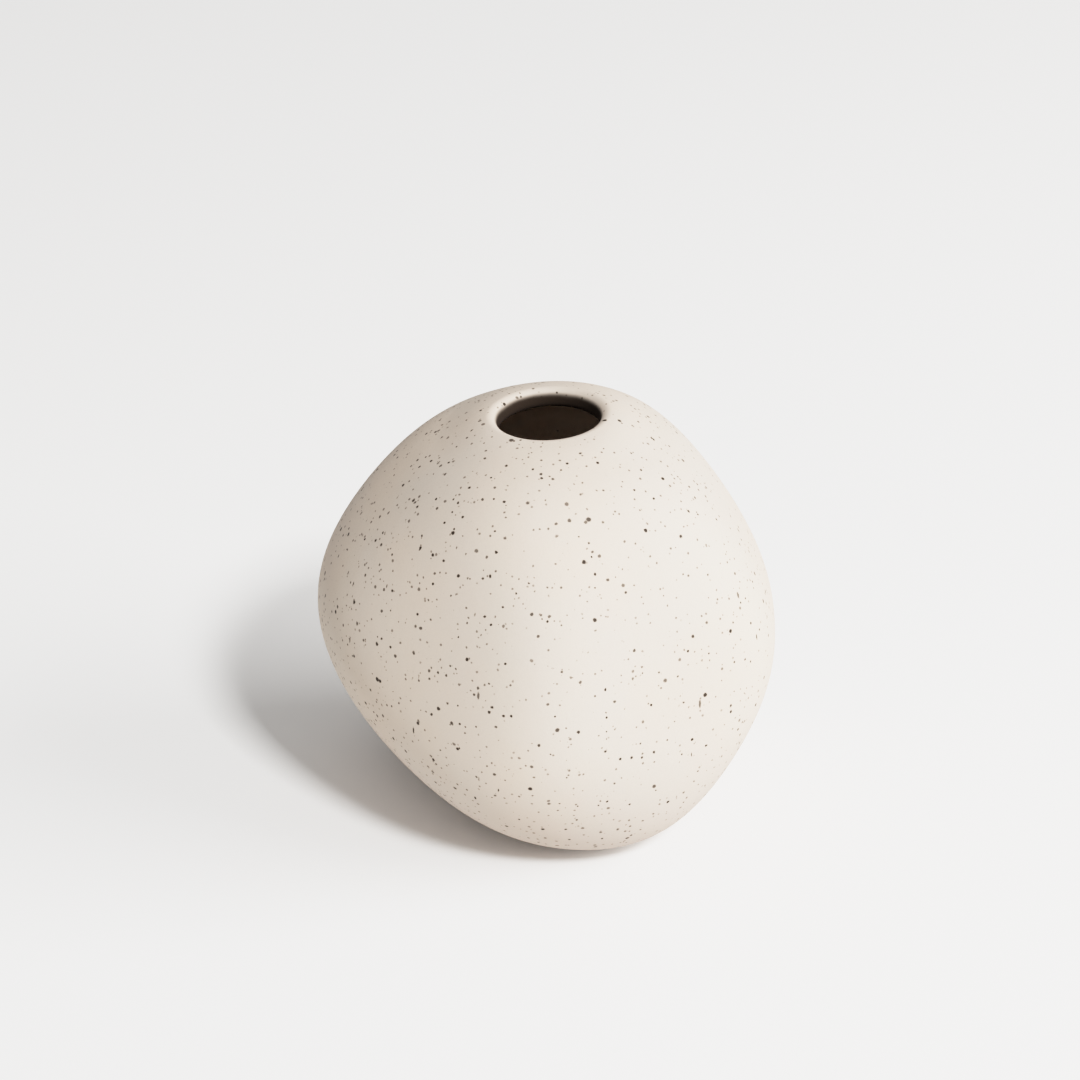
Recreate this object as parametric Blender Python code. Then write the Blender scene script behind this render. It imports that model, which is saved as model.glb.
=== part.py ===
"""Ceramic bud vase: a pebble-shaped stoneware shell, the glaze that lines it and the pad under its foot.

Metres, +Z up. The origin is the centre of the foot, on the surface that the vase stands on.
The front faces -Y and the right side faces +X.
"""

import math

import bmesh
import bpy
from mathutils import Vector

MM = 0.001

# The pebble form is a polyhedron with soft edges: flattish sides around a heart point.
# Each side is (bearing, elevation, distance from the heart in mm). Bearing 0 faces the front,
# 90 the right, 180 the back and 270 the left. Elevation is above the level of the heart.
SIDES = {
    "right_high": (95, 38, 51.0),
    "right": (90, 5, 55.0),
    "right_low": (80, -35, 54.0),
    "left_low": (300, -38, 54.5),
    "left_high": (275, 42, 58.0),
    "left": (275, -8, 63.0),
    "front_right": (30, 5, 50.0),
    "front_left": (325, 15, 54.0),
    "front_low": (0, -30, 60.5),
    "front_high": (20, 38, 56.0),
    "back_right": (155, 10, 50.5),
    "back_left": (210, 10, 52.5),
    "back_low": (185, -38, 55.5),
    "back_high": (180, 35, 61.5),
    "crown": (270, 87, 55.0),
}
HEART = Vector((0, 0, 49)) * MM
SOFTNESS = 7.2  # the higher, the sharper the turns between the sides
UNDERSIDE = -1.5 * MM  # height of the plane that closes the form below, before the foot is flattened

# The shell.
WALL = 4 * MM
FLOOR_TOP = 7 * MM
FOOT_LAND = 0.8 * MM  # height of the ground foot ring
FOOT_EASE = 0.5 * MM
FOOT_RADIUS = 23 * MM

# The mouth: a round hole whose lip leans a little to the left.
MOUTH_CENTRE = Vector((-4, 3.5, 103.2)) * MM
MOUTH_BEARING = 270
MOUTH_ELEVATION = 87
MOUTH_RADIUS = 12.5 * MM
LIP_ROUNDING = 2.2 * MM
LIP_OUTER_TURN = math.radians(18)  # how far the lip's roll turns down on its outer side
COLLAR_RADIUS = 28 * MM  # where the swelling towards the lip has sunk into the shoulder
THROAT_ROUNDING = 2 * MM

# The pad in the recess of the foot.
GAP = 0.3 * MM
PAD_RADIUS = 19 * MM
PAD_THICKNESS = 2 * MM
PAD_BEVEL = 0.3 * MM
RECESS_RADIUS = PAD_RADIUS + 0.5 * MM
RECESS_ROOF = PAD_THICKNESS + GAP

# The glaze inside.
GLAZE = 0.5 * MM

# Fineness of the meshes.
AROUND = 40
SKIN_RINGS = 20
COLLAR_RINGS = 5
LIP_STEPS = 5
THROAT_STEPS = 3
CAVITY_RINGS = 16
GLAZE_FIRST_RING = 1  # the ring of the cavity, counted from the throat, at which the glaze starts
SHARP_ANGLE = math.radians(40)


def facing(bearing, elevation):
    """Unit vector for a bearing and an elevation in degrees."""
    turn = math.radians(bearing)
    rise = math.radians(elevation)
    return Vector((math.sin(turn) * math.cos(rise), -math.cos(turn) * math.cos(rise), math.sin(rise)))


MOUTH_AXIS = facing(MOUTH_BEARING, MOUTH_ELEVATION)
MOUTH_RIGHT = (Vector((1, 0, 0)) - MOUTH_AXIS * MOUTH_AXIS.x).normalized()
MOUTH_BACK = MOUTH_AXIS.cross(MOUTH_RIGHT)


def form(inset, floor):
    """Every side of the form as (normal, distance from the heart), moved in by inset, and its floor."""
    planes = [(facing(bearing, rise), reach * MM - inset) for bearing, rise, reach in SIDES.values()]
    planes.append((Vector((0, 0, -1)), HEART.z - floor))
    return planes


OUTSIDE = form(0, UNDERSIDE)
CAVITY = form(WALL, FLOOR_TOP)


def fullness(offset, planes):
    """How far an offset from the heart reaches towards the form's skin, which is at 1."""
    total = sum(max(0, normal.dot(offset) / distance) ** SOFTNESS for normal, distance in planes)
    return total ** (1 / SOFTNESS)


def on_skin(direction, planes):
    """The point of a form's skin in a direction from the heart."""
    return HEART + direction / fullness(direction, planes)


def around_mouth(radius, turn, height):
    """A point by its distance from the mouth's axis, its turn and its height over the lip's plane."""
    outward = MOUTH_RIGHT * math.cos(turn) + MOUTH_BACK * math.sin(turn)
    return MOUTH_CENTRE + outward * radius + MOUTH_AXIS * height


def shoulder_height(radius, turn, planes):
    """Height of a form's skin over the lip's plane, found by halving."""
    low = -30 * MM
    high = 10 * MM
    for _ in range(30):
        middle = (low + high) / 2
        if fullness(around_mouth(radius, turn, middle) - HEART, planes) < 1:
            low = middle
        else:
            high = middle
    return low


def on_foot(radius, turn, height):
    """A point by its distance from the foot's centre, its turn around it and its height."""
    return Vector((radius * math.cos(turn), radius * math.sin(turn), height))


def smooth_step(share):
    """A share from 0 to 1 with a soft start and a soft end."""
    return share * share * (3 - 2 * share)


def pressed_flat(point):
    """A point of the outside with the foot ground flat under it."""
    over = point.z - FOOT_LAND
    if over < FOOT_EASE:
        eased = max(0, over + FOOT_EASE) ** 2 / (4 * FOOT_EASE)
        return Vector((point.x, point.y, FOOT_LAND + eased))
    return point


def ring_of(place):
    """One ring's points, from a function of the turn around the vase."""
    return [place(2 * math.pi * index / AROUND) for index in range(AROUND)]


def foot_rings():
    """Rings from the recess's roof to the outer edge of the foot's land."""
    return [
        ring_of(lambda turn: on_foot(RECESS_RADIUS / 2, turn, RECESS_ROOF)),
        ring_of(lambda turn: on_foot(RECESS_RADIUS, turn, RECESS_ROOF)),
        ring_of(lambda turn: on_foot(RECESS_RADIUS, turn, FOOT_LAND)),
    ]


def skin_rings():
    """Rings up the outside, from the foot's edge to the collar's edge."""

    def place(share, turn):
        below = (on_foot(FOOT_RADIUS, turn, FOOT_LAND) - HEART).normalized()
        height = shoulder_height(COLLAR_RADIUS, turn, OUTSIDE)
        above = (around_mouth(COLLAR_RADIUS, turn, height) - HEART).normalized()
        return pressed_flat(on_skin(below.slerp(above, share), OUTSIDE))

    return [ring_of(lambda turn, step=step: place(step / SKIN_RINGS, turn)) for step in range(SKIN_RINGS + 1)]


def collar_rings():
    """Rings that swell from the shoulder to the lip."""
    join = MOUTH_RADIUS + LIP_ROUNDING * (1 + math.sin(LIP_OUTER_TURN))
    join_height = LIP_ROUNDING * (math.cos(LIP_OUTER_TURN) - 1)

    def place(share, turn):
        radius = COLLAR_RADIUS + (join - COLLAR_RADIUS) * share
        lift = join_height - shoulder_height(join, turn, OUTSIDE)
        return around_mouth(radius, turn, shoulder_height(radius, turn, OUTSIDE) + lift * smooth_step(share))

    steps = range(1, COLLAR_RINGS + 1)
    return [ring_of(lambda turn, step=step: place(step / COLLAR_RINGS, turn)) for step in steps]


def lip_rings():
    """Rings over the lip's roll, from its outer side to the hole's wall."""

    def place(angle, turn):
        radius = MOUTH_RADIUS + LIP_ROUNDING * (1 - math.sin(angle))
        return around_mouth(radius, turn, LIP_ROUNDING * (math.cos(angle) - 1))

    sweep = math.pi / 2 + LIP_OUTER_TURN
    angles = [sweep * step / LIP_STEPS - LIP_OUTER_TURN for step in range(1, LIP_STEPS + 1)]
    return [ring_of(lambda turn, angle=angle: place(angle, turn)) for angle in angles]


def throat_rings():
    """Rings down the hole's wall and round under the shoulder."""
    inner = MOUTH_RADIUS + THROAT_ROUNDING

    def place(angle, turn):
        roof = shoulder_height(inner, turn, CAVITY)
        return around_mouth(inner - THROAT_ROUNDING * math.cos(angle), turn,
                            roof + THROAT_ROUNDING * (1 - math.sin(angle)))

    angles = [math.pi / 2 * step / THROAT_STEPS for step in range(THROAT_STEPS + 1)]
    return [ring_of(lambda turn, angle=angle: place(angle, turn)) for angle in angles]


def cavity_rings(planes, first):
    """Rings down the inside, from a first one counted from the throat to the floor's centre."""
    inner = MOUTH_RADIUS + THROAT_ROUNDING
    down = Vector((0, 0, -1))

    def place(share, turn):
        height = shoulder_height(inner, turn, CAVITY)
        above = (around_mouth(inner, turn, height) - HEART).normalized()
        return on_skin(above.slerp(down, share), planes)

    steps = range(first, CAVITY_RINGS)
    return [ring_of(lambda turn, step=step: place(step / CAVITY_RINGS, turn)) for step in steps]


def extruded(mesh, ring, places):
    """Extrude a closed ring of vertices and put the new ring at the places given."""
    edges = [mesh.edges.get(pair) for pair in zip(ring, ring[1:] + ring[:1])]
    made = bmesh.ops.extrude_edge_only(mesh, edges=edges)["geom"]
    fresh = {item for item in made if isinstance(item, bmesh.types.BMVert)}
    following = [
        next(edge.other_vert(vertex) for edge in vertex.link_edges if edge.other_vert(vertex) in fresh)
        for vertex in ring
    ]
    for vertex, place in zip(following, places):
        vertex.co = place
    return following


def close_to_point(mesh, ring, place):
    """Close a ring with a fan of triangles around a centre point."""
    following = extruded(mesh, ring, [place] * len(ring))
    bmesh.ops.pointmerge(mesh, verts=following, merge_co=place)


def lofted(name, rings, first_centre, last_centre):
    """An object whose closed skin runs through rings, between two centre points."""
    mesh = bmesh.new()
    start = bmesh.ops.create_circle(mesh, segments=len(rings[0]), radius=1)["verts"]
    for vertex, place in zip(start, rings[0]):
        vertex.co = place
    ring = start
    for places in rings[1:]:
        ring = extruded(mesh, ring, places)
    close_to_point(mesh, ring, last_centre)
    close_to_point(mesh, start, first_centre)
    return finished(name, mesh)


def finished(name, mesh):
    """An object from a bmesh, its faces turned outwards and its skin shaded smooth."""
    bmesh.ops.recalc_face_normals(mesh, faces=mesh.faces)
    data = bpy.data.meshes.new(name)
    mesh.to_mesh(data)
    mesh.free()
    data.shade_smooth()
    data.set_sharp_from_angle(angle=SHARP_ANGLE)
    made = bpy.data.objects.new(name, data)
    bpy.context.scene.collection.objects.link(made)
    return made


def finish(name, colour, roughness, coat=0):
    """A material with one colour, roughness and clear coat."""
    material = bpy.data.materials.new(name)
    material.use_nodes = True
    shader = material.node_tree.nodes["Principled BSDF"]
    shader.inputs["Base Color"].default_value = (*colour, 1)
    shader.inputs["Roughness"].default_value = roughness
    shader.inputs["Metallic"].default_value = 0
    shader.inputs["Coat Weight"].default_value = coat
    return material


def stoneware_body():
    """The one-piece shell: recessed foot, faceted sides, collar, lip, throat and cavity."""
    rings = foot_rings() + skin_rings() + collar_rings() + lip_rings() + throat_rings()
    rings += cavity_rings(CAVITY, 1)
    floor_centre = on_skin(Vector((0, 0, -1)), CAVITY)
    body = lofted("stoneware_body", rings, Vector((0, 0, RECESS_ROOF)), floor_centre)
    body.data.materials.append(finish("speckled_stoneware", (0.76, 0.69, 0.62), 0.75))
    return body


def liner_glaze():
    """The glaze that lines the cavity: a thin shell, open under the mouth."""
    outer = form(WALL + GAP, FLOOR_TOP + GAP)
    inner = form(WALL + GAP + GLAZE, FLOOR_TOP + GAP + GLAZE)
    down = Vector((0, 0, -1))
    rings = cavity_rings(inner, GLAZE_FIRST_RING)[::-1] + cavity_rings(outer, GLAZE_FIRST_RING)
    liner = lofted("liner_glaze", rings, on_skin(down, inner), on_skin(down, outer))
    liner.data.materials.append(finish("clear_liner_glaze", (0.62, 0.55, 0.47), 0.15, 1))
    return liner


def base_pad():
    """The round felt pad that sits in the foot's recess and stands a little proud of it."""
    mesh = bmesh.new()
    bmesh.ops.create_cone(
        mesh, segments=AROUND, cap_ends=True, radius1=PAD_RADIUS, radius2=PAD_RADIUS, depth=PAD_THICKNESS
    )
    rims = [edge for edge in mesh.edges if len({round(vertex.co.z, 6) for vertex in edge.verts}) == 1]
    bmesh.ops.bevel(mesh, geom=rims, offset=PAD_BEVEL, segments=1, profile=0.5, affect="EDGES", material=-1)
    pad = finished("base_pad", mesh)
    pad.location.z = PAD_THICKNESS / 2
    pad.data.materials.append(finish("felt", (0.09, 0.075, 0.065), 0.95))
    return pad


def main():
    """Clear the scene and make the vase's pieces."""
    for old in list(bpy.data.objects):
        bpy.data.objects.remove(old)
    whole = bpy.data.objects.new("bud_vase", None)
    bpy.context.scene.collection.objects.link(whole)
    for piece in (stoneware_body(), liner_glaze(), base_pad()):
        piece.parent = whole


main()
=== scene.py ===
"""The finished look of a ceramic bud vase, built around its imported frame.

The vase is a pebble-shaped stoneware shell with dark iron specks, a thin gloss glaze inside and a
felt pad under its foot. Everything is in metres, +Z up, with the front facing -Y.
"""

import logging
import math
from collections.abc import Iterable
from dataclasses import dataclass, field
from enum import Enum

import bmesh
import bpy
import numpy as np
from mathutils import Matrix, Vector


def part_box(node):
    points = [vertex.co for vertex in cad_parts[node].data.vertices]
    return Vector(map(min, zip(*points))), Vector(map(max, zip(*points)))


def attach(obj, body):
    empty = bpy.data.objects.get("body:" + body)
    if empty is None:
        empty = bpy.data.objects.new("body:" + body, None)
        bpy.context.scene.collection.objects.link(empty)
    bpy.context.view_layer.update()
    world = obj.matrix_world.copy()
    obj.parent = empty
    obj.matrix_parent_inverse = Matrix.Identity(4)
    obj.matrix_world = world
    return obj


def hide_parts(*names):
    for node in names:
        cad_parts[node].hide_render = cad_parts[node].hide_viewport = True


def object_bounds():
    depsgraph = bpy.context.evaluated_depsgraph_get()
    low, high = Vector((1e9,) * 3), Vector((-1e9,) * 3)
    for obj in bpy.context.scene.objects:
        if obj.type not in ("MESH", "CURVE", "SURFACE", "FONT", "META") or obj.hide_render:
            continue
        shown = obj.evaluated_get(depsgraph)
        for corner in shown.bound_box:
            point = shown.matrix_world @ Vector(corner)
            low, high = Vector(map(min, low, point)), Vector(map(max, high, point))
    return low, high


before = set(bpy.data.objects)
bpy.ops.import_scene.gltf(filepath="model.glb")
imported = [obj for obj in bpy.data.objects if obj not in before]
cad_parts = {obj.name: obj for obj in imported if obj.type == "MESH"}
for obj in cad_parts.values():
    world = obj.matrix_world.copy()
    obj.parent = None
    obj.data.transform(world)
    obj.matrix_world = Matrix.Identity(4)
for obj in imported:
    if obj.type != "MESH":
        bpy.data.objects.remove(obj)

CAD_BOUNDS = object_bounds()
BODY = "root"
MM = 0.001

log = logging.getLogger("bud_vase")


# ---------------------------------------------------------------- shader expressions


class Wire:
    """One shader value: an output socket whose operators add Math nodes."""

    def __init__(self, graph: "Graph", socket: bpy.types.NodeSocket) -> None:
        """Keep the graph and the socket.

        Args:
            graph: The node tree's writer.
            socket: The output socket that holds the value.
        """
        self.graph = graph
        self.socket = socket

    def _math(self, operation: str, first: "Value", second: "Value") -> "Wire":
        """Add a Math node for two values and return its result."""
        return self.graph.node("ShaderNodeMath", {"operation": operation}, {0: first, 1: second})

    def __add__(self, other: "Value") -> "Wire":
        """self + other"""
        return self._math("ADD", self, other)

    def __radd__(self, other: "Value") -> "Wire":
        """other + self"""
        return self._math("ADD", other, self)

    def __sub__(self, other: "Value") -> "Wire":
        """self - other"""
        return self._math("SUBTRACT", self, other)

    def __rsub__(self, other: "Value") -> "Wire":
        """other - self"""
        return self._math("SUBTRACT", other, self)

    def __mul__(self, other: "Value") -> "Wire":
        """self * other"""
        return self._math("MULTIPLY", self, other)

    def __truediv__(self, other: "Value") -> "Wire":
        """self / other"""
        return self._math("DIVIDE", self, other)

    def larger(self, other: "Value") -> "Wire":
        """The larger of this value and another."""
        return self._math("MAXIMUM", self, other)

    def smaller(self, other: "Value") -> "Wire":
        """The smaller of this value and another."""
        return self._math("MINIMUM", self, other)

    def above(self, other: "Value") -> "Wire":
        """1 where this value is above another, else 0."""
        return self._math("GREATER_THAN", self, other)


Value = Wire | float | int | tuple


class Graph:
    """Writes one material's node tree."""

    def __init__(self, name: str) -> None:
        """Make a material with a Principled shader.

        Args:
            name: The material's name.
        """
        self.material = bpy.data.materials.new(name)
        self.material.use_nodes = True
        self.tree = self.material.node_tree
        self.shader = self.tree.nodes["Principled BSDF"]

    def node(self, kind: str, settings: dict | None = None, inputs: dict | None = None,
             output: int | str = 0) -> Wire:
        """Add a node of any type.

        Args:
            kind: The node's type.
            settings: Its settings, set before its sockets.
            inputs: Values or wires by socket name or number.
            output: The output socket's name or number.

        Returns:
            The chosen output.
        """
        made = self.tree.nodes.new(kind)
        for key, value in (settings or {}).items():
            setattr(made, key, value)
        for key, value in (inputs or {}).items():
            self.feed(made.inputs[key], value)
        return Wire(self, made.outputs[output])

    def feed(self, socket: bpy.types.NodeSocket, value: Value) -> None:
        """Link a wire to a socket, or set the socket's own value.

        Args:
            socket: The input socket.
            value: A wire, a number, a vector or a colour without its alpha.
        """
        if isinstance(value, Wire):
            self.tree.links.new(value.socket, socket)
        elif isinstance(value, tuple) and len(value) == 3 and socket.type == "RGBA":
            socket.default_value = (*value, 1)
        else:
            socket.default_value = value

    def place(self) -> Wire:
        """The point being shaded, in the piece's own coordinates in metres."""
        return self.node("ShaderNodeTexCoord", output="Object")

    def along(self, where: Wire, axis: str) -> Wire:
        """One coordinate of a point: X, Y or Z."""
        return self.node("ShaderNodeSeparateXYZ", {}, {0: where}, axis)

    def laid(self, where: Wire, turn: tuple, stretch: tuple) -> Wire:
        """Coordinates turned and stretched by a Mapping node."""
        return self.node("ShaderNodeMapping", {}, {"Vector": where, "Rotation": turn, "Scale": stretch})

    def noise(self, where: Wire, size: float, detail: float = 2, roughness: float = 0.5,
              output: str = "Fac") -> Wire:
        """Soft noise.

        Args:
            where: The coordinates.
            size: Width of its largest blobs, in metres.
            detail: How many finer layers it has.
            roughness: How strong the finer layers are.
            output: Fac or Color.

        Returns:
            A value around 0.5, or a colour of three such values.
        """
        return self.node("ShaderNodeTexNoise", {"noise_dimensions": "3D"},
                         {"Vector": where, "Scale": 1 / size, "Detail": detail, "Roughness": roughness},
                         output)

    def band(self, value: Value, low: float, high: float, start: float = 0, end: float = 1) -> Wire:
        """A soft step.

        Args:
            value: What is compared.
            low: Where the step starts.
            high: Where it ends.
            start: The result at and below low.
            end: The result at and above high.

        Returns:
            A value that turns smoothly from start to end.
        """
        return self.node("ShaderNodeMapRange", {"interpolation_type": "SMOOTHSTEP"},
                         {"Value": value, "From Min": low, "From Max": high, "To Min": start, "To Max": end})

    def vector(self, operation: str, first: Value, second: Value = (0, 0, 0), output: int | str = 0) -> Wire:
        """A Vector Math node on two vectors."""
        return self.node("ShaderNodeVectorMath", {"operation": operation}, {0: first, 1: second}, output)

    def scaled(self, where: Value, factor: Value) -> Wire:
        """A vector made longer or shorter by a factor."""
        return self.node("ShaderNodeVectorMath", {"operation": "SCALE"}, {0: where, "Scale": factor})

    def mix(self, share: Value, first: Value, second: Value) -> Wire:
        """A colour between two others."""
        return self.node("ShaderNodeMix", {"data_type": "RGBA"}, {0: share, 6: first, 7: second}, 2)

    def bumped(self, height: Value, distance: float, strength: float, under: Wire | None = None) -> Wire:
        """The surface's normal with a height pattern on it.

        Args:
            height: The pattern, 0 to 1.
            distance: Its depth in metres.
            strength: How much of it shows.
            under: A normal that is already bumped.

        Returns:
            The new normal.
        """
        inputs = {"Height": height, "Distance": distance, "Strength": strength}
        if under is not None:
            inputs["Normal"] = under
        return self.node("ShaderNodeBump", {}, inputs)

    def finish(self, **sockets: Value) -> bpy.types.Material:
        """Feed the Principled shader.

        Args:
            **sockets: Values or wires by the input's name, with _ for spaces.

        Returns:
            The finished material.
        """
        for key, value in sockets.items():
            self.feed(self.shader.inputs[key.replace("_", " ")], value)
        return self.material


# ---------------------------------------------------------------- the pebble form


@dataclass(frozen=True)
class Side:
    """One flattish side of the pebble: where it faces and how far it stands from the heart."""

    bearing: float
    elevation: float
    reach_mm: float

    def normal(self) -> np.ndarray:
        """The side's outward unit vector. Bearing 0 faces the front, 90 the right."""
        turn = math.radians(self.bearing)
        rise = math.radians(self.elevation)
        return np.array([math.sin(turn) * math.cos(rise), -math.cos(turn) * math.cos(rise), math.sin(rise)])


@dataclass(frozen=True)
class Pebble:
    """The vase's form: soft sides around a heart point, with the foot's centre at the origin."""

    sides: tuple[Side, ...] = (
        Side(95, 38, 51.0),
        Side(90, 5, 55.0),
        Side(80, -35, 54.0),
        Side(300, -38, 54.5),
        Side(275, 42, 58.0),
        Side(275, -8, 63.0),
        Side(30, 5, 50.0),
        Side(325, 15, 54.0),
        Side(0, -30, 60.5),
        Side(20, 38, 56.0),
        Side(155, 10, 50.5),
        Side(210, 10, 52.5),
        Side(185, -38, 55.5),
        Side(180, 35, 61.5),
        Side(270, 87, 55.0),
    )
    heart: tuple[float, float, float] = (0, 0, 49 * MM)
    softness: float = 7.2
    underside: float = -1.5 * MM
    wall: float = 4 * MM
    floor_top: float = 7 * MM
    foot_land: float = 0.8 * MM
    foot_ease: float = 0.5 * MM
    mouth_centre: tuple[float, float, float] = (-4 * MM, 3.5 * MM, 103.2 * MM)
    mouth_side: Side = Side(270, 87, 0)
    mouth_radius: float = 12.5 * MM
    search_low: float = -30 * MM
    search_high: float = 10 * MM
    halvings: int = 30

    def planes(self, inset: float, floor: float) -> tuple[np.ndarray, np.ndarray]:
        """The sides' normals and distances.

        Args:
            inset: How far every side is moved in.
            floor: Height of the lowest side.

        Returns:
            The normals, one a row, and the distances from the heart.
        """
        normals = [side.normal() for side in self.sides] + [np.array([0, 0, -1.0])]
        reaches = [side.reach_mm * MM - inset for side in self.sides] + [self.heart[2] - floor]
        return np.array(normals), np.array(reaches)

    def fullness(self, offsets: np.ndarray, planes: tuple[np.ndarray, np.ndarray]) -> np.ndarray:
        """How far offsets from the heart reach towards the skin.

        Args:
            offsets: Offsets from the heart, one a row.
            planes: The sides' normals and distances.

        Returns:
            One number a row: below 1 inside the skin, 1 on it.
        """
        normals, reaches = planes
        leans = np.clip(offsets @ normals.T, 0, None) / reaches
        return (leans**self.softness).sum(axis=1) ** (1 / self.softness)

    def on_skin(self, directions: np.ndarray, planes: tuple[np.ndarray, np.ndarray]) -> np.ndarray:
        """The skin's points in directions from the heart, one a row."""
        return self.heart + directions / self.fullness(directions, planes)[:, None]

    def around_mouth(self, radius: float, turns: np.ndarray, height: np.ndarray | float) -> np.ndarray:
        """Points around the mouth's axis.

        Args:
            radius: Their distance from the axis.
            turns: Their turns around it, in radians.
            height: Their height over the lip's plane.

        Returns:
            One point a row.
        """
        axis = self.mouth_side.normal()
        right = np.array([1.0, 0, 0]) - axis * axis[0]
        right /= np.linalg.norm(right)
        back = np.cross(axis, right)
        outward = np.outer(np.cos(turns), right) + np.outer(np.sin(turns), back)
        return self.mouth_centre + outward * radius + np.outer(np.broadcast_to(height, turns.shape), axis)

    def shoulder_height(self, radius: float, turns: np.ndarray,
                        planes: tuple[np.ndarray, np.ndarray]) -> np.ndarray:
        """Height of the skin over the lip's plane, found by halving.

        Args:
            radius: Distance from the mouth's axis.
            turns: Turns around it, in radians.
            planes: The sides' normals and distances.

        Returns:
            One height for every turn.
        """
        low = np.full(turns.shape, self.search_low)
        high = np.full(turns.shape, self.search_high)
        for _ in range(self.halvings):
            middle = (low + high) / 2
            inside = self.fullness(self.around_mouth(radius, turns, middle) - self.heart, planes) < 1
            low = np.where(inside, middle, low)
            high = np.where(inside, high, middle)
        return low

    def pressed_flat(self, points: np.ndarray) -> np.ndarray:
        """Grind the foot flat.

        Args:
            points: The outside's points, one a row.

        Returns:
            The points with none below the foot's land.
        """
        over = points[:, 2] - self.foot_land
        eased = np.clip(over + self.foot_ease, 0, None) ** 2 / (4 * self.foot_ease)
        pressed = points.copy()
        pressed[:, 2] = np.where(over < self.foot_ease, self.foot_land + eased, points[:, 2])
        return pressed


def slerped(start: np.ndarray, end: np.ndarray, share: float) -> np.ndarray:
    """Directions part of the way round from one to another.

    Args:
        start: The first directions, one a row.
        end: The last directions, one a row.
        share: How far round, 0 to 1.

    Returns:
        Unit vectors, one a row.
    """
    start = start / np.linalg.norm(start, axis=1, keepdims=True)
    end = end / np.linalg.norm(end, axis=1, keepdims=True)
    angle = np.arccos(np.clip((start * end).sum(axis=1), -1, 1))[:, None]
    return (np.sin((1 - share) * angle) * start + np.sin(share * angle) * end) / np.sin(angle)


def smooth_step(share: float) -> float:
    """A share from 0 to 1 with a soft start and a soft end."""
    return share * share * (3 - 2 * share)


# ---------------------------------------------------------------- mesh work


def full_turn(count: int) -> np.ndarray:
    """Evenly spaced turns around a ring, in radians."""
    return np.linspace(0, 2 * math.pi, count, endpoint=False)


def extruded(mesh: bmesh.types.BMesh, ring: list, places: np.ndarray) -> list:
    """Extrude a closed ring of vertices and place the new ring.

    Args:
        mesh: The mesh being built.
        ring: The ring's vertices in order.
        places: The new ring's points.

    Returns:
        The new ring's vertices in the same order.
    """
    edges = [mesh.edges.get(pair) for pair in zip(ring, ring[1:] + ring[:1])]
    made = bmesh.ops.extrude_edge_only(mesh, edges=edges)["geom"]
    fresh = {item for item in made if isinstance(item, bmesh.types.BMVert)}
    following = [
        next(edge.other_vert(vertex) for edge in vertex.link_edges if edge.other_vert(vertex) in fresh)
        for vertex in ring
    ]
    for vertex, place in zip(following, places):
        vertex.co = Vector(place)
    return following


def lofted(rings: Iterable[np.ndarray], first_centre: np.ndarray,
           last_centre: np.ndarray) -> bmesh.types.BMesh:
    """A closed skin through rings of points.

    Args:
        rings: The rings, each with the same number of points.
        first_centre: The point that closes the first ring.
        last_centre: The point that closes the last ring.

    Returns:
        The mesh, with its faces turned outwards.
    """
    rings = list(rings)
    mesh = bmesh.new()
    start = bmesh.ops.create_circle(mesh, segments=len(rings[0]), radius=1)["verts"]
    for vertex, place in zip(start, rings[0]):
        vertex.co = Vector(place)
    ring = start
    for places in rings[1:]:
        ring = extruded(mesh, ring, places)
    for end, centre in ((ring, last_centre), (start, first_centre)):
        tip = extruded(mesh, end, np.tile(centre, (len(end), 1)))
        bmesh.ops.pointmerge(mesh, verts=tip, merge_co=Vector(centre))
    bmesh.ops.recalc_face_normals(mesh, faces=mesh.faces)
    return mesh


def piece_from(name: str, mesh: bmesh.types.BMesh, sharp_degrees: float = 60) -> bpy.types.Object:
    """A smooth-shaded object at the origin.

    Args:
        name: The piece's name.
        mesh: Its mesh, which is freed.
        sharp_degrees: Edges bent more than this stay sharp.

    Returns:
        The piece, in the scene.
    """
    data = bpy.data.meshes.new(name)
    mesh.to_mesh(data)
    mesh.free()
    data.shade_smooth()
    data.set_sharp_from_angle(angle=math.radians(sharp_degrees))
    made = bpy.data.objects.new(name, data)
    bpy.context.scene.collection.objects.link(made)
    return made


def settle_in(piece: bpy.types.Object, node: str, material: bpy.types.Material) -> None:
    """Dress a piece and let it stand for a node of the frame.

    Args:
        piece: The finished piece.
        node: The node that it replaces.
        material: Its finish.
    """
    piece.data.materials.clear()
    piece.data.materials.append(material)
    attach(piece, BODY)
    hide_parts(node)


# ---------------------------------------------------------------- finishes


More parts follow.
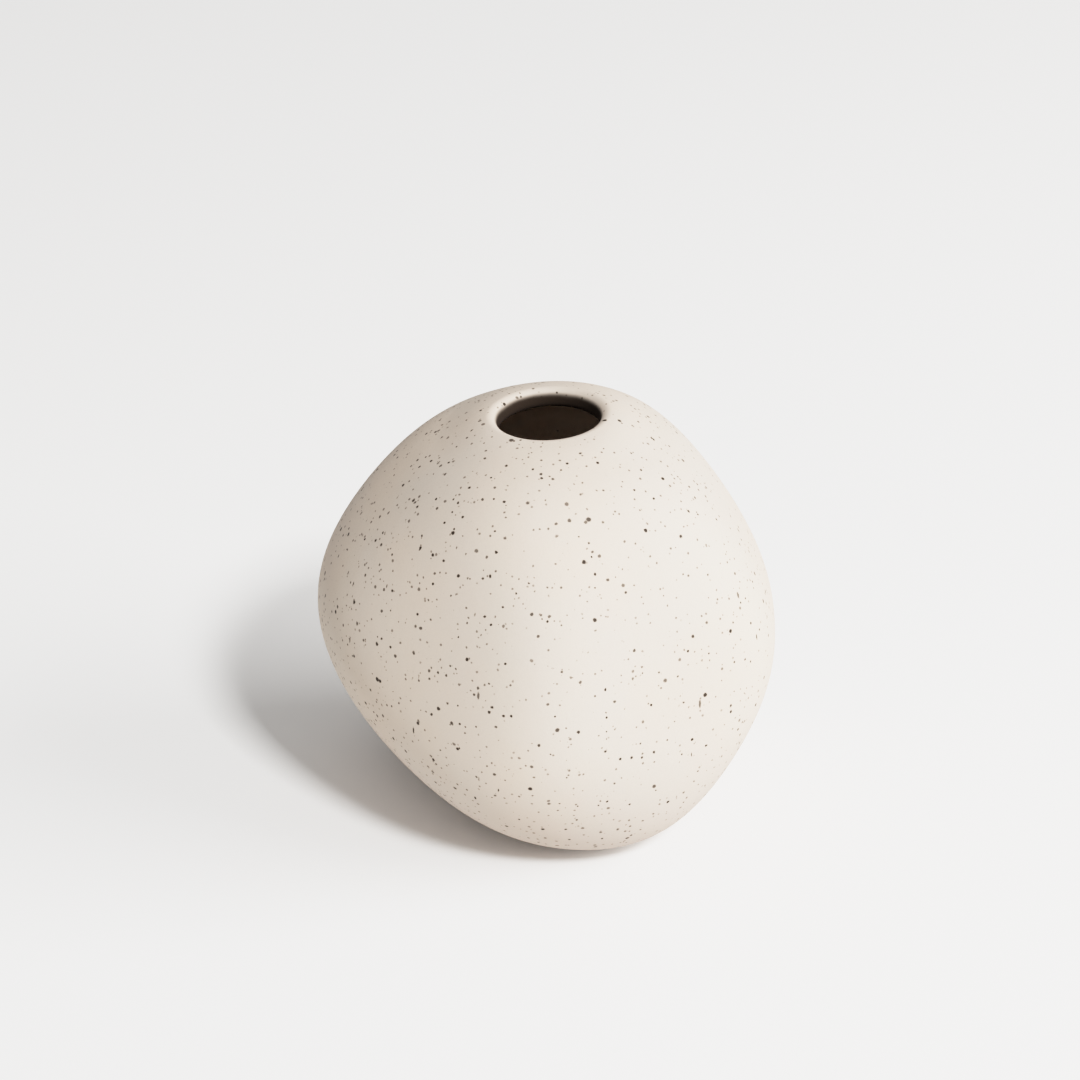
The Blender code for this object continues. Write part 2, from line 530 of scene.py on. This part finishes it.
@dataclass(frozen=True)
class SpeckLayer:
    """Specks scattered through the clay, cut open where the surface meets them."""

    cell: float
    largest: float
    share: float
    darkness: float
    stretch: tuple[float, float, float] = (1, 1, 1)
    tilt: tuple[float, float, float] = (0, 0, 0)
    soft: float = 0.5
    smallest: float = 0.4
    palest: float = 0.6

    def mask(self, graph: Graph, where: Wire, crowd: Value = 1) -> Wire:
        """How much of a speck shows at each point.

        Args:
            graph: The material's writer.
            where: The coordinates, already unsettled a little so that outlines aren't round.
            crowd: How crowded the specks are here, 1 as a rule.

        Returns:
            0 on clean clay, up to the layer's darkness on a speck.
        """
        laid = graph.laid(where, self.tilt, self.stretch)
        cells = {"Vector": laid, "Scale": 1 / self.cell, "Randomness": 1.0}
        settings = {"feature": "F1", "voronoi_dimensions": "3D"}
        away = graph.node("ShaderNodeTexVoronoi", settings, cells, "Distance") * self.cell
        draw = {0: graph.node("ShaderNodeTexVoronoi", settings, cells, "Color")}
        lot = graph.node("ShaderNodeSeparateColor", {}, draw, 0)
        size = graph.node("ShaderNodeSeparateColor", {}, draw, 1)
        tone = graph.node("ShaderNodeSeparateColor", {}, draw, 2)
        radius = (size * (1 - self.smallest) + self.smallest) * self.largest
        inside = 1 - graph.band(away / radius, 1 - self.soft, 1)
        chosen = 1 - (lot / crowd).above(self.share)
        return inside * chosen * (tone * (1 - self.palest) + self.palest) * self.darkness


@dataclass(frozen=True)
class SpeckledStoneware:
    """Matt cream stoneware with dark iron specks, a fine grain and painted shade inside the mouth."""

    clay: tuple[float, float, float] = (0.535, 0.449, 0.374)
    warm: tuple[float, float, float] = (0.546, 0.448, 0.366)
    cool: tuple[float, float, float] = (0.524, 0.450, 0.380)
    # throat: near-black colour painted inside the mouth and under the shoulder as painted shade.
    throat: tuple[float, float, float] = (0.018, 0.011, 0.007)
    dust: tuple[float, float, float] = (0.355, 0.290, 0.235)
    # foot_shade: a darker, greyer clay tone painted over the lower body as painted shade.
    foot_shade: tuple[float, float, float] = (0.370, 0.305, 0.268)
    rust: tuple[float, float, float] = (0.172, 0.138, 0.110)
    iron: tuple[float, float, float] = (0.030, 0.021, 0.015)
    layers: tuple[SpeckLayer, ...] = (
        SpeckLayer(4.6 * MM, 0.86 * MM, 0.24, 1.0),
        SpeckLayer(3.0 * MM, 0.72 * MM, 0.46, 0.95),
        SpeckLayer(2.2 * MM, 0.60 * MM, 0.60, 0.85),
        SpeckLayer(1.6 * MM, 0.46 * MM, 0.55, 0.62),
        SpeckLayer(3.6 * MM, 0.50 * MM, 0.50, 0.92, (1, 1, 0.30), (0.6, 0.5, 0)),
    )
    patch_size: float = 34 * MM
    cloud_size: float = 9 * MM
    grain_size: float = 0.45 * MM
    grain_depth: float = 0.05 * MM
    hand_size: float = 6 * MM
    hand_depth: float = 0.25 * MM
    ragged_size: float = 0.8 * MM
    ragged_reach: float = 0.45 * MM
    crowd_size: float = 22 * MM
    crowd_left: float = -40 * MM
    crowd_right: float = 25 * MM
    foot_shade_height: float = 42 * MM
    foot_shade_share: float = 0.62
    # These values place the painted shade inside the mouth: its fade at the lip, its wavy edge, the part
    # under the shoulder's roof and its height band.
    throat_shade_fade: float = 0.75 * MM
    wave_size: float = 6 * MM
    wave_height: float = 0.2 * MM
    roof_start: float = -1.6 * MM
    roof_full: float = -2.4 * MM
    roof_reach: float = 4 * MM
    roof_fade: float = 1 * MM
    throat_shade_low: float = 50 * MM
    throat_shade_high: float = 60 * MM
    shine: float = 0.12

    def speck_pattern(self, graph: Graph, where: Wire) -> Wire:
        """All the specks together.

        Args:
            graph: The material's writer.
            where: The coordinates.

        Returns:
            0 on clean clay, up to 1 in the middle of a dark speck.
        """
        shake = graph.noise(where, self.ragged_size, 2, 0.6, "Color")
        ragged = graph.vector("SUBTRACT", shake, (0.5, 0.5, 0.5))
        unsettled = graph.vector("ADD", where, graph.scaled(ragged, self.ragged_reach))
        drift = graph.noise(where, self.crowd_size, 2, 0.5) + 0.5
        crowd = graph.band(graph.along(where, "X"), self.crowd_left, self.crowd_right, 1.25, 0.9) * drift
        specks = self.layers[0].mask(graph, unsettled, crowd)
        for layer in self.layers[1:]:
            specks = specks.larger(layer.mask(graph, unsettled, crowd))
        return specks

    def throat_shade_share(self, graph: Graph, where: Wire, form: Pebble) -> Wire:
        """Where the painted shade inside the mouth shows.

        Args:
            graph: The material's writer.
            where: The coordinates.
            form: The pebble, for the place of its mouth.

        Returns:
            1 inside the mouth, fading out on the lip's inner side, and 0 outside.
        """
        axis = tuple(float(value) for value in form.mouth_side.normal())
        offset = graph.vector("SUBTRACT", where, form.mouth_centre)
        along = graph.vector("DOT_PRODUCT", offset, axis, "Value")
        beside = graph.vector("SUBTRACT", offset, graph.scaled(axis, along))
        reach = graph.vector("LENGTH", beside, output="Value")
        wave = (graph.noise(where, self.wave_size, 2, 0.5) - 0.5) * self.wave_height
        inside = graph.band(reach + wave, form.mouth_radius, form.mouth_radius + self.throat_shade_fade, 1, 0)
        below = graph.band(along, self.roof_full, self.roof_start, 1, 0)
        edge = form.mouth_radius + self.roof_reach
        under_roof = graph.band(reach, edge, edge + self.roof_fade, 1, 0)
        return inside.larger(below * under_roof)

    def material(self, form: Pebble) -> bpy.types.Material:
        """Write the finish.

        Args:
            form: The pebble that it covers.

        Returns:
            The material.
        """
        graph = Graph("speckled_stoneware")
        where = graph.place()
        specks = self.speck_pattern(graph, where)
        patch = graph.noise(where, self.patch_size, 3, 0.55)
        colour = graph.mix(graph.band(patch, 0.35, 0.65), self.warm, self.cool)
        cloud = graph.noise(where, self.cloud_size, 4, 0.6)
        colour = graph.mix(graph.band(cloud, 0.3, 0.7, 0, 0.5), colour, self.clay)
        grain = graph.noise(where, self.grain_size, 3, 0.65)
        colour = graph.mix(graph.band(grain, 0.25, 0.8, 0, 0.12), colour, self.dust)
        height = graph.along(where, "Z")
        # Painted shade: the clay turns darker and greyer from 42 mm high down to the foot.
        colour = graph.mix(graph.band(height, 0, self.foot_shade_height, self.foot_shade_share, 0), colour, self.foot_shade)
        colour = graph.mix(graph.band(specks, 0.0, 0.5, 0, 0.8), colour, self.rust)
        colour = graph.mix(graph.band(specks, 0.35, 0.85), colour, self.iron)
        upper = graph.band(height, self.throat_shade_low, self.throat_shade_high)
        # Painted shade: the throat and the wall under the shoulder are coloured near black, only above the
        # cavity's middle.
        throat = self.throat_shade_share(graph, where, form) * upper
        colour = graph.mix(throat, colour, self.throat)
        rough = 0.72 + grain * 0.12 - specks * 0.18 + throat * 0.15
        relief = graph.bumped(graph.noise(where, self.hand_size, 3, 0.5), self.hand_depth, 0.5)
        relief = graph.bumped(grain, self.grain_depth, 0.6, relief)
        relief = graph.bumped(1 - specks, self.grain_depth, 0.5, relief)
        return graph.finish(Base_Color=colour, Roughness=rough, Normal=relief,
                            Specular_IOR_Level=self.shine)


@dataclass(frozen=True)
class LinerGlazeFinish:
    """Thin clear glaze over the clay, pooled and slightly wavy."""

    thin: tuple[float, float, float] = (0.66, 0.55, 0.45)
    pooled: tuple[float, float, float] = (0.52, 0.40, 0.31)
    iron: tuple[float, float, float] = (0.05, 0.035, 0.025)
    specks: SpeckLayer = SpeckLayer(2.6 * MM, 0.45 * MM, 0.5, 0.8)
    flow_size: float = 14 * MM
    pool_low: float = 10 * MM
    pool_high: float = 40 * MM
    ripple_size: float = 3 * MM
    ripple_depth: float = 0.08 * MM

    def material(self) -> bpy.types.Material:
        """Write the finish.

        Returns:
            The material.
        """
        graph = Graph("clear_liner_glaze")
        where = graph.place()
        flow = graph.noise(where, self.flow_size, 3, 0.5)
        sunk = graph.band(graph.along(where, "Z"), self.pool_low, self.pool_high, 0.6, 0)
        pooling = (graph.band(flow, 0.35, 0.7) * 0.5 + sunk).smaller(1)
        colour = graph.mix(pooling, self.thin, self.pooled)
        colour = graph.mix(self.specks.mask(graph, where), colour, self.iron)
        ripple = graph.bumped(graph.noise(where, self.ripple_size, 2, 0.5), self.ripple_depth, 0.4)
        return graph.finish(Base_Color=colour, Roughness=0.14 + flow * 0.1, Normal=ripple, Coat_Weight=1.0)


@dataclass(frozen=True)
class Felt:
    """Dense dark wool felt with loose fibres."""

    dark: tuple[float, float, float] = (0.055, 0.046, 0.040)
    light: tuple[float, float, float] = (0.13, 0.11, 0.095)
    long_fibre: float = 1.2 * MM
    short_fibre: float = 1.0 * MM
    nap_depth: float = 0.3 * MM

    def material(self) -> bpy.types.Material:
        """Write the finish.

        Returns:
            The material.
        """
        graph = Graph("felt")
        where = graph.place()
        lengthwise = graph.noise(graph.laid(where, (0, 0, 0.7), (1, 4, 2)), self.long_fibre, 5, 0.7)
        crosswise = graph.noise(graph.laid(where, (0, 0, -0.5), (4, 1, 2)), self.short_fibre, 5, 0.7)
        fibres = (lengthwise + crosswise) * 0.5
        colour = graph.mix(graph.band(fibres, 0.38, 0.62), self.dark, self.light)
        nap = graph.bumped(fibres, self.nap_depth, 0.7)
        return graph.finish(Base_Color=colour, Roughness=0.92, Normal=nap, Sheen_Weight=0.6,
                            Sheen_Roughness=0.5)


# ---------------------------------------------------------------- the pieces


@dataclass
class StonewareBody:
    """The one-piece shell: recessed foot, soft sides, lip, throat and the clay wall of the cavity."""

    form: Pebble
    recess_radius: float = 19.5 * MM
    recess_roof: float = 2.3 * MM
    recess_rounding: float = 0.35 * MM
    roof_shares: tuple[float, ...] = (0.25, 0.5, 0.75, 0.94)
    collar_radius: float = 28 * MM
    lip_rounding: float = 2.2 * MM
    lip_outer_turn: float = math.radians(18)
    throat_rounding: float = 2 * MM
    around: int = 200
    skin_steps: int = 110
    collar_steps: int = 16
    lip_steps: int = 10
    throat_steps: int = 8
    cavity_steps: int = 60
    finish: SpeckledStoneware = field(default_factory=SpeckledStoneware)

    def flat_ring(self, radius: float, height: float) -> np.ndarray:
        """A level ring around the foot's centre."""
        turns = full_turn(self.around)
        return np.column_stack([radius * np.cos(turns), radius * np.sin(turns), np.full(self.around, height)])

    def foot_rings(self) -> list[np.ndarray]:
        """Ring the recess's roof, its rounded edge and the land.

        Returns:
            The rings, from the middle outwards.
        """
        edge = self.recess_rounding
        land = self.form.foot_land
        rings = [self.flat_ring(self.recess_radius * share, self.recess_roof) for share in self.roof_shares]
        rings.append(self.flat_ring(self.recess_radius, self.recess_roof - edge))
        for angle in np.linspace(0, math.pi / 2, 4):
            rings.append(self.flat_ring(self.recess_radius + edge * (1 - math.cos(angle)),
                                        land + edge * (1 - math.sin(angle))))
        return rings

    def skin_rings(self) -> list[np.ndarray]:
        """Ring the outside.

        Returns:
            The rings, from the foot's edge up to the collar's edge.
        """
        turns = full_turn(self.around)
        planes = self.form.planes(0, self.form.underside)
        start = self.recess_radius + self.recess_rounding * 2
        below = self.flat_ring(start, self.form.foot_land) - self.form.heart
        height = self.form.shoulder_height(self.collar_radius, turns, planes)
        above = self.form.around_mouth(self.collar_radius, turns, height) - self.form.heart
        return [
            self.form.pressed_flat(self.form.on_skin(slerped(below, above, step / self.skin_steps), planes))
            for step in range(self.skin_steps + 1)
        ]

    def lip_rings(self) -> list[np.ndarray]:
        """Ring the collar, the lip's roll and the throat.

        Returns:
            The rings, from the collar's edge up over the lip and round under the shoulder.
        """
        turns = full_turn(self.around)
        outside = self.form.planes(0, self.form.underside)
        cavity = self.form.planes(self.form.wall, self.form.floor_top)
        mouth = self.form.mouth_radius
        join = mouth + self.lip_rounding * (1 + math.sin(self.lip_outer_turn))
        join_height = self.lip_rounding * (math.cos(self.lip_outer_turn) - 1)
        lift = join_height - self.form.shoulder_height(join, turns, outside)
        rings = []
        for step in range(1, self.collar_steps + 1):
            share = step / self.collar_steps
            radius = self.collar_radius + (join - self.collar_radius) * share
            height = self.form.shoulder_height(radius, turns, outside) + lift * smooth_step(share)
            rings.append(self.form.around_mouth(radius, turns, height))
        for angle in np.linspace(-self.lip_outer_turn, math.pi / 2, self.lip_steps + 1)[1:]:
            rings.append(self.form.around_mouth(mouth + self.lip_rounding * (1 - math.sin(angle)), turns,
                                                self.lip_rounding * (math.cos(angle) - 1)))
        inner = mouth + self.throat_rounding
        roof = self.form.shoulder_height(inner, turns, cavity)
        for angle in np.linspace(0, math.pi / 2, self.throat_steps + 1):
            rings.append(self.form.around_mouth(inner - self.throat_rounding * math.cos(angle), turns,
                                                roof + self.throat_rounding * (1 - math.sin(angle))))
        return rings

    def cavity_rings(self) -> list[np.ndarray]:
        """Ring the inside wall.

        Returns:
            The rings, from the throat down almost to the floor's centre.
        """
        turns = full_turn(self.around)
        cavity = self.form.planes(self.form.wall, self.form.floor_top)
        inner = self.form.mouth_radius + self.throat_rounding
        height = self.form.shoulder_height(inner, turns, cavity)
        above = self.form.around_mouth(inner, turns, height) - self.form.heart
        down = np.tile([0, 0, -1.0], (self.around, 1))
        return [
            self.form.on_skin(slerped(above, down, step / self.cavity_steps), cavity)
            for step in range(1, self.cavity_steps)
        ]

    def build(self) -> bpy.types.Object:
        """Make the shell's mesh.

        Returns:
            The shell.
        """
        rings = self.foot_rings() + self.skin_rings() + self.lip_rings() + self.cavity_rings()
        cavity = self.form.planes(self.form.wall, self.form.floor_top)
        floor = self.form.on_skin(np.array([[0, 0, -1.0]]), cavity)[0]
        mesh = lofted(rings, np.array([0, 0, self.recess_roof]), floor)
        return piece_from("vase_shell", mesh)

    def dress(self, piece: bpy.types.Object) -> None:
        """Give the shell its finish and its place in the frame."""
        settle_in(piece, "stoneware_body", self.finish.material(self.form))


@dataclass
class LinerGlaze:
    """The glaze that lines the cavity, open under the mouth."""

    form: Pebble
    gap: float = 0.3 * MM
    thickness: float = 0.5 * MM
    start_radius: float = 23 * MM
    around: int = 128
    steps: int = 56
    finish: LinerGlazeFinish = field(default_factory=LinerGlazeFinish)

    def wall_rings(self, inset: float) -> list[np.ndarray]:
        """Ring one side of the glaze.

        Args:
            inset: How far that side stands inside the cavity's wall.

        Returns:
            The rings, from the upper edge down almost to the floor's centre.
        """
        turns = full_turn(self.around)
        cavity = self.form.planes(self.form.wall, self.form.floor_top)
        planes = self.form.planes(self.form.wall + inset, self.form.floor_top + inset)
        height = self.form.shoulder_height(self.start_radius, turns, cavity)
        above = self.form.around_mouth(self.start_radius, turns, height) - self.form.heart
        down = np.tile([0, 0, -1.0], (self.around, 1))
        return [
            self.form.on_skin(slerped(above, down, step / self.steps), planes) for step in range(self.steps)
        ]

    def build(self) -> bpy.types.Object:
        """Make the glaze's mesh: a thin bowl with a rounded upper edge.

        Returns:
            The glaze.
        """
        outer = self.wall_rings(self.gap)
        inner = self.wall_rings(self.gap + self.thickness)
        down = np.array([[0, 0, -1.0]])
        centres = [
            self.form.on_skin(down, self.form.planes(self.form.wall + inset, self.form.floor_top + inset))[0]
            for inset in (self.gap + self.thickness, self.gap)
        ]
        return piece_from("liner_coat", lofted(inner[::-1] + outer, centres[0], centres[1]), 80)

    def dress(self, piece: bpy.types.Object) -> None:
        """Give the glaze its finish and its place in the frame."""
        settle_in(piece, "liner_glaze", self.finish.material())


@dataclass
class BasePad:
    """The round felt pad in the foot's recess."""

    rounding: float = 0.5 * MM
    around: int = 160
    rounding_steps: int = 4
    cap_inset: float = 0.3
    finish: Felt = field(default_factory=Felt)

    def build(self) -> bpy.types.Object:
        """Make the pad inside its node's box.

        Returns:
            The pad.
        """
        low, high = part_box("base_pad")
        radius = (high[0] - low[0]) / 2
        thick = high[2] - low[2]
        mesh = bmesh.new()
        bmesh.ops.create_cone(mesh, cap_ends=True, segments=self.around, radius1=radius, radius2=radius,
                              depth=thick)
        bmesh.ops.translate(mesh, verts=mesh.verts, vec=Vector((0, 0, low[2] + thick / 2)))
        rims = [
            edge for edge in mesh.edges
            if abs(edge.verts[0].co.z - edge.verts[1].co.z) < self.rounding / 2
        ]
        bmesh.ops.bevel(mesh, geom=rims, offset=self.rounding, segments=self.rounding_steps, profile=0.5,
                        affect="EDGES", material=-1)
        for cap in [face for face in mesh.faces if len(face.verts) > 4]:
            bmesh.ops.inset_region(mesh, faces=[cap], thickness=radius * self.cap_inset)
        caps = [face for face in mesh.faces if len(face.verts) > 4]
        bmesh.ops.poke(mesh, faces=caps)
        bmesh.ops.recalc_face_normals(mesh, faces=mesh.faces)
        return piece_from("felt_pad", mesh)

    def dress(self, piece: bpy.types.Object) -> None:
        """Give the pad its finish and its place in the frame."""
        settle_in(piece, "base_pad", self.finish.material())


# ---------------------------------------------------------------- the studio


class Softbox(Enum):
    """The studio's lights: (bearing, elevation, distance in m, width in m, watts)."""

    KEY = (30, 44, 2.2, 0.36, 65.0)
    SIDE = (80, 22, 1.6, 1.2, 44.0)


@dataclass
class Studio:
    """A pale floor, soft lights and the camera."""

    focal_mm: float = 127.5
    sensor_mm: float = 36
    distance: float = 932.9 * MM
    pitch: float = 28.5
    aim: tuple[float, float, float] = (-6.01 * MM, 0, 70.47 * MM)
    floor_size: float = 6
    floor_tone: tuple[float, float, float] = (0.915, 0.900, 0.880)
    sky_strength: float = 0.47
    knee: float = 0.3
    white: float = 0.93
    brightest: float = 4.0
    tones: tuple[float, ...] = (0.5, 0.75, 1.0, 1.4, 1.9, 2.6)

    def lay_floor(self, level: float) -> None:
        """Lay the pale floor.

        Args:
            level: The height that the vase stands on.
        """
        mesh = bmesh.new()
        bmesh.ops.create_grid(mesh, x_segments=2, y_segments=2, size=self.floor_size / 2)
        bmesh.ops.translate(mesh, verts=mesh.verts, vec=Vector((0, 0, level)))
        floor = piece_from("floor", mesh)
        graph = Graph("studio_floor")
        floor.data.materials.append(graph.finish(Base_Color=self.floor_tone, Roughness=0.9))

    def hang_lights(self) -> None:
        """Hang the softboxes around the vase, facing it."""
        centre = Vector(self.aim)
        for box in Softbox:
            bearing, elevation, away, width, watts = box.value
            facing = Vector(Side(bearing, elevation, 0).normal())
            lamp = bpy.data.lights.new(box.name.lower(), "AREA")
            lamp.shape = "SQUARE"
            lamp.size = width
            lamp.energy = watts
            hung = bpy.data.objects.new(box.name.lower(), lamp)
            hung.location = centre + facing * away
            hung.rotation_euler = facing.to_track_quat("Z", "Y").to_euler()
            bpy.context.scene.collection.objects.link(hung)

    def light_room(self) -> None:
        """Fill the room with even white light."""
        world = bpy.data.worlds.new("white_room")
        world.use_nodes = True
        background = world.node_tree.nodes["Background"]
        background.inputs["Color"].default_value = (1, 1, 1, 1)
        background.inputs["Strength"].default_value = self.sky_strength
        bpy.context.scene.world = world

    def set_camera(self) -> None:
        """Aim the camera down at the vase from the front."""
        pitch = math.radians(self.pitch)
        lens = bpy.data.cameras.new("camera")
        lens.lens = self.focal_mm
        lens.sensor_width = self.sensor_mm
        camera = bpy.data.objects.new("camera", lens)
        camera.location = Vector(self.aim) + Vector((0, -math.cos(pitch), math.sin(pitch))) * self.distance
        camera.rotation_euler = (math.pi / 2 - pitch, 0, 0)
        bpy.context.scene.collection.objects.link(camera)
        bpy.context.scene.camera = camera

    def soften_whites(self) -> None:
        """Let tones over the knee roll off softly towards the white."""
        view = bpy.context.scene.view_settings
        view.view_transform = "Standard"
        view.look = "None"
        view.use_curve_mapping = True
        mapping = view.curve_mapping
        mapping.clip_max_x = self.brightest
        reach = self.white - self.knee
        points = mapping.curves[3].points
        points[-1].location = (self.brightest, self.white)
        for tone in (self.knee, *self.tones):
            points.new(tone, self.knee + reach * (1 - math.exp((self.knee - tone) / reach)))
        mapping.update()

    def build(self) -> None:
        """Set up the whole studio."""
        self.lay_floor(float(CAD_BOUNDS[0][2]))
        self.hang_lights()
        self.light_room()
        self.set_camera()
        self.soften_whites()


def main() -> None:
    """Build, dress and report every piece."""
    logging.basicConfig(level=logging.INFO, format="%(name)s: %(message)s")
    form = Pebble()
    for assembly in (StonewareBody(form), LinerGlaze(form), BasePad()):
        piece = assembly.build()
        assembly.dress(piece)
        log.info("%s: %d faces", piece.name, len(piece.data.polygons))
    Studio().build()


if __name__ == "__main__":
    main()
